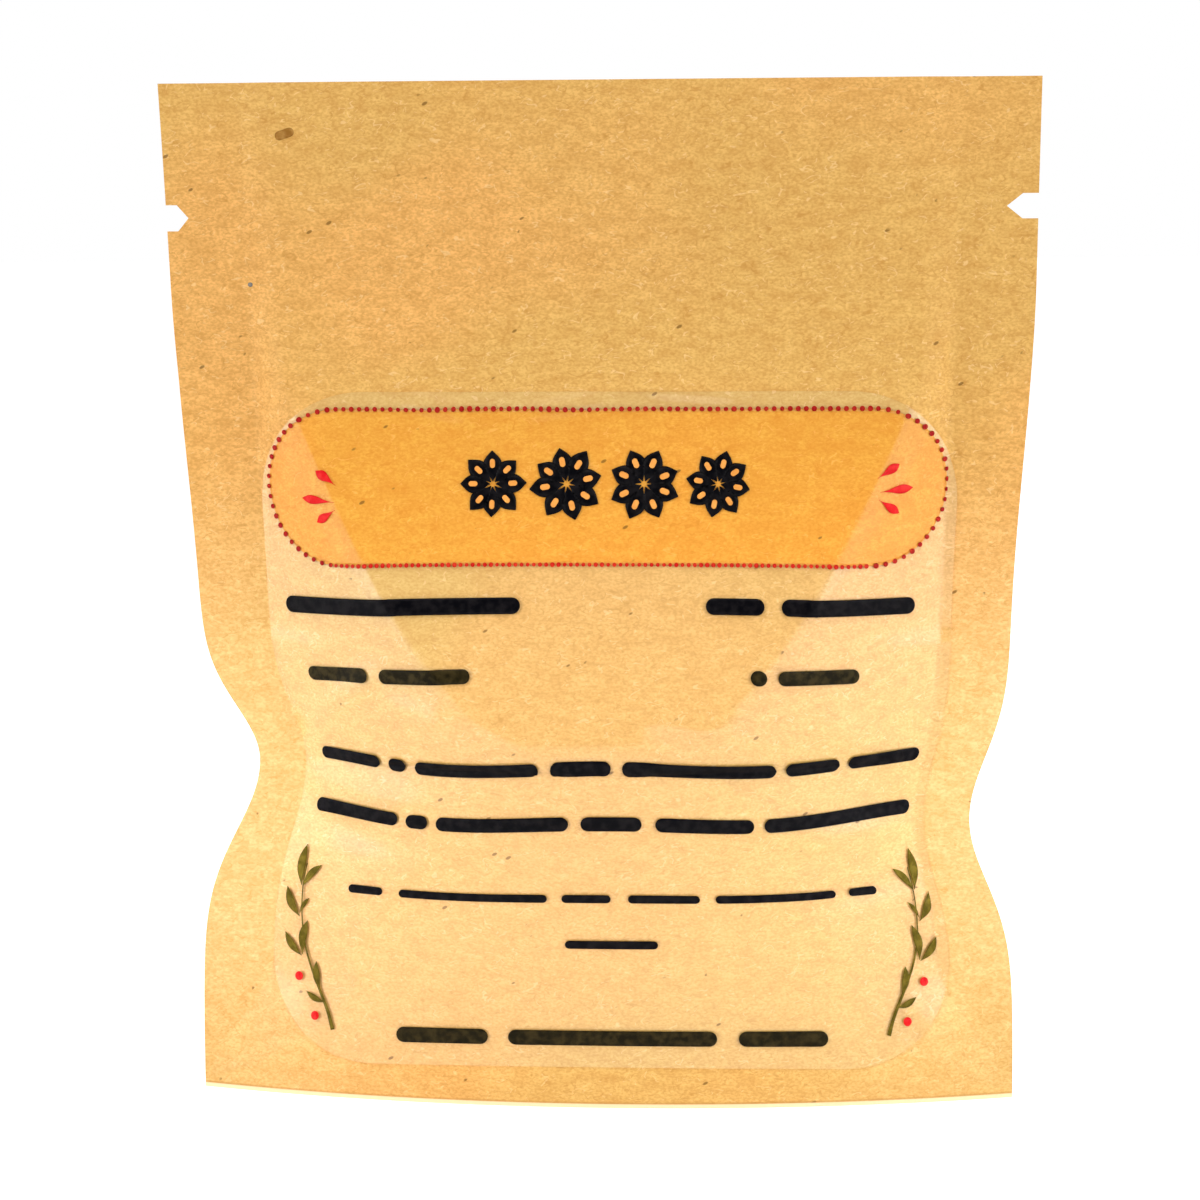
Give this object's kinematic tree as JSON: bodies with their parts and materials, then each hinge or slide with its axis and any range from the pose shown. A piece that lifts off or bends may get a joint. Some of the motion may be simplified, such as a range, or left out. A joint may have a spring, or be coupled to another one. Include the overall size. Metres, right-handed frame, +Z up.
{
  "type": "kraft stand-up spice pouch",
  "caption": "Small flat-topped kraft paper pouch standing on its gusset, with tear notches, pinched waist and a clear square label with plain print shapes",
  "frame": {"origin": "centre of the bottom of the bounding box, on the surface the pouch stands on", "axes": "+Z up along the pouch's height, +X across its width to the right of the front, +Y from front to back; the label faces -Y"},
  "size_m": [0.0702, 0.0218, 0.084],
  "materials": {
    "kraft": "uncoated brown kraft paper with fine fibres",
    "film": "clear glossy label film, seen over the kraft paper"
  },
  "bodies": {
    "root": {"pouch": "kraft", "label": "film"}
  },
  "joints": []
}
